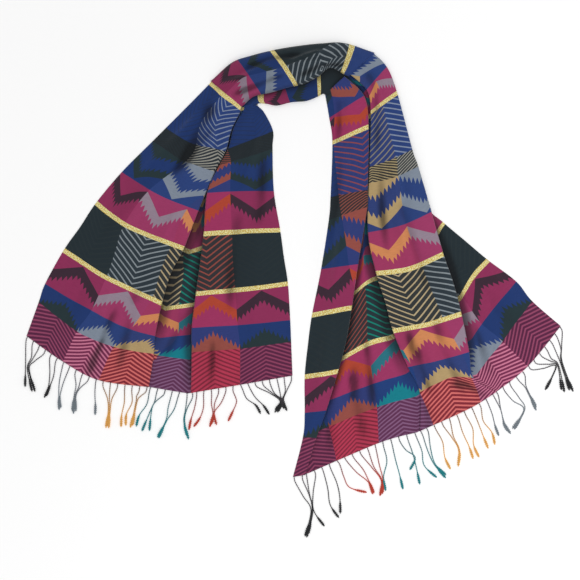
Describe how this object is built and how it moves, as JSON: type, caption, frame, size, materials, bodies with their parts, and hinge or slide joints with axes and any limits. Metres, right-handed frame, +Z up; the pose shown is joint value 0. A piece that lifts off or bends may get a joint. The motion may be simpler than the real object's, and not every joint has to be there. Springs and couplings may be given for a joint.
{
  "type": "fringed woven scarf",
  "caption": "Long woven scarf with zigzag bands and twisted fringes, laid flat as an arch with its middle bunched and its tails fanned out.",
  "frame": {"origin": "middle of the footprint, on the surface the scarf lies on", "axes": "+Z up from the surface, +X across both tails, -Y towards the fringed hems"},
  "size_m": [1.2062, 1.0812, 0.0271],
  "materials": {
    "tail_cloth": "soft woven cloth with a slight sheen and metallic stripes",
    "neck_cloth": "soft woven cloth with a slight sheen, bunched",
    "fringe_yarn": "twisted yarn, matte"
  },
  "bodies": {
    "root": {"left_tail": "tail_cloth", "right_tail": "tail_cloth", "neck_stretch": "neck_cloth", "left_fringe": "fringe_yarn", "right_fringe": "fringe_yarn"}
  },
  "joints": []
}
